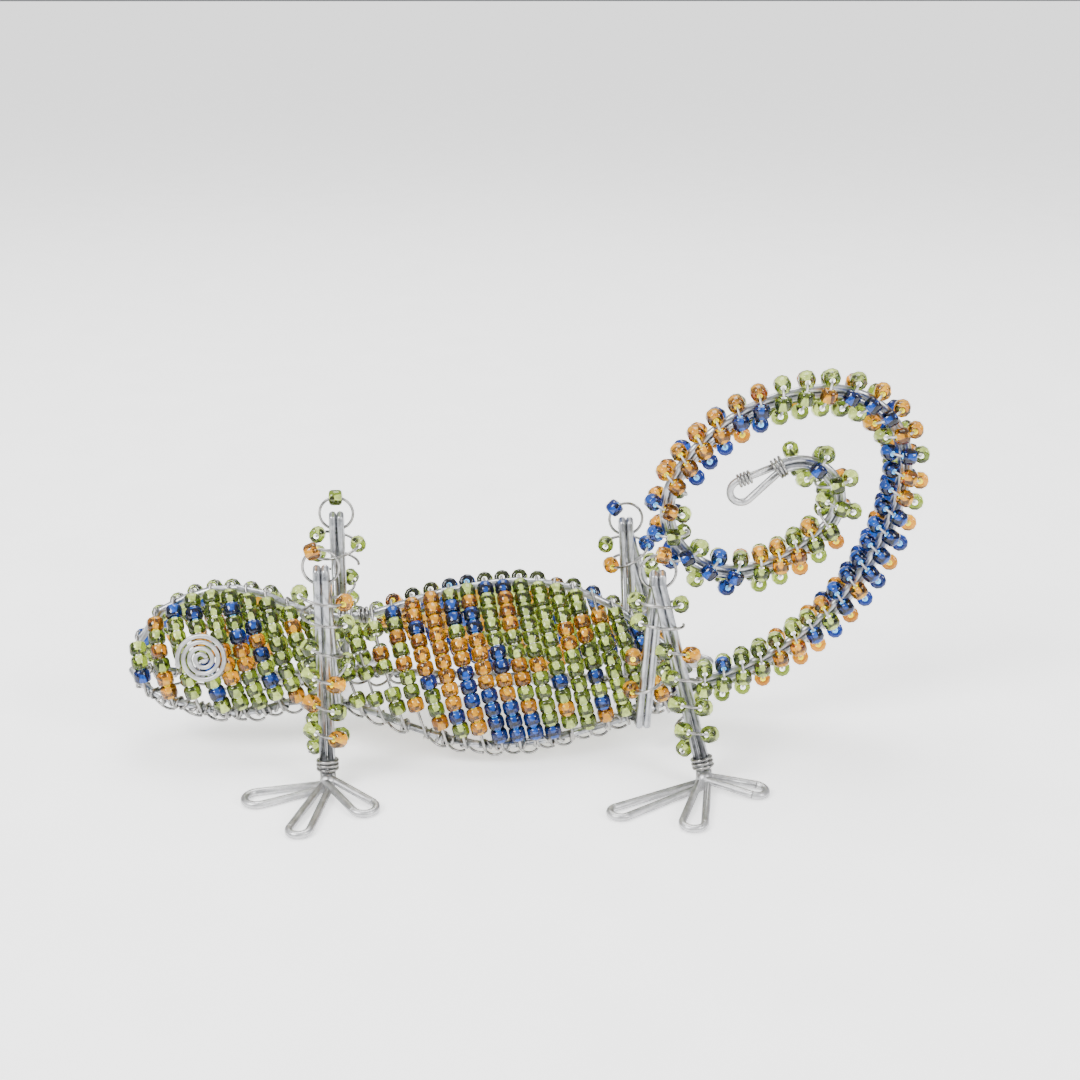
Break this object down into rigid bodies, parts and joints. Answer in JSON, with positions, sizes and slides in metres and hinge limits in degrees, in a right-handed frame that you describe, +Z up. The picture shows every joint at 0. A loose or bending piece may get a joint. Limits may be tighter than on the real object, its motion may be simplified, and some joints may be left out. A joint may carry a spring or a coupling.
{
  "type": "beaded wire chameleon figure",
  "caption": "Free-standing chameleon figure of galvanised wire covered with rows of coloured glass beads, with spiral eyes, looped feet and a coiled beaded tail.",
  "frame": {"origin": "on the table under the middle of the figure's overall box", "axes": "-X from the tail towards the snout, +X towards the tail, -Y the animal's left side, +Z up"},
  "size_m": [0.1398, 0.0758, 0.0664],
  "materials": {
    "frame_wire": "dull galvanised wire",
    "bright_wire": "pale matt galvanised wire",
    "thin_wire": "bright thin binding wire",
    "green_glass": "clear olive green glass with a silvered hole",
    "amber_glass": "clear amber orange glass with a silvered hole",
    "blue_glass": "clear cobalt blue glass with a silvered hole"
  },
  "bodies": {
    "figure": {"belly_rails": "frame_wire", "back_wire": "frame_wire", "head_strand_wires": "thin_wire", "body_strand_wires": "thin_wire", "neck_wire_bundle": "thin_wire", "head_green_beads": "green_glass", "head_amber_beads": "amber_glass", "head_blue_beads": "blue_glass", "body_green_beads": "green_glass", "body_amber_beads": "amber_glass", "body_blue_beads": "blue_glass", "left_eye_spiral": "bright_wire", "right_eye_spiral": "bright_wire", "tail_core_wire": "frame_wire", "tail_tip_loop": "bright_wire", "tail_tip_binding": "thin_wire", "tail_winding_wire": "thin_wire", "tail_green_beads": "green_glass", "tail_amber_beads": "amber_glass", "tail_blue_beads": "blue_glass", "front_left_leg_wire": "frame_wire", "front_right_leg_wire": "frame_wire", "rear_left_leg_wire": "frame_wire", "rear_right_leg_wire": "frame_wire", "front_left_foot": "bright_wire", "front_right_foot": "bright_wire", "rear_left_foot": "bright_wire", "rear_right_foot": "bright_wire", "front_left_leg_winding": "thin_wire", "front_right_leg_winding": "thin_wire", "rear_left_leg_winding": "thin_wire", "rear_right_leg_winding": "thin_wire", "leg_green_beads": "green_glass", "leg_amber_beads": "amber_glass", "leg_blue_beads": "blue_glass"},
    "front_left_knee_bead_body": {"front_left_knee_bead": "amber_glass"},
    "front_right_knee_bead_body": {"front_right_knee_bead": "green_glass"},
    "rear_left_knee_bead_body": {"rear_left_knee_bead": "amber_glass"},
    "rear_right_knee_bead_body": {"rear_right_knee_bead": "blue_glass"}
  },
  "joints": [
    {"name": "front_left_knee_bead_slides_on_loop", "type": "hinge", "parent": "figure", "child": "front_left_knee_bead_body", "pos_m": [-0.034, -0.0135, 0.0373], "axis": [0, -1, 0], "range_deg": [-115, 65]},
    {"name": "front_right_knee_bead_slides_on_loop", "type": "hinge", "parent": "figure", "child": "front_right_knee_bead_body", "pos_m": [-0.0335, 0.0135, 0.0373], "axis": [0, -1, 0], "range_deg": [-90, 90]},
    {"name": "rear_left_knee_bead_slides_on_loop", "type": "hinge", "parent": "figure", "child": "rear_left_knee_bead_body", "pos_m": [0.0215, -0.0135, 0.0353], "axis": [0, -1, 0], "range_deg": [-75, 105]},
    {"name": "rear_right_knee_bead_slides_on_loop", "type": "hinge", "parent": "figure", "child": "rear_right_knee_bead_body", "pos_m": [0.019, 0.0135, 0.0353], "axis": [0, -1, 0], "range_deg": [-135, 45]}
  ]
}
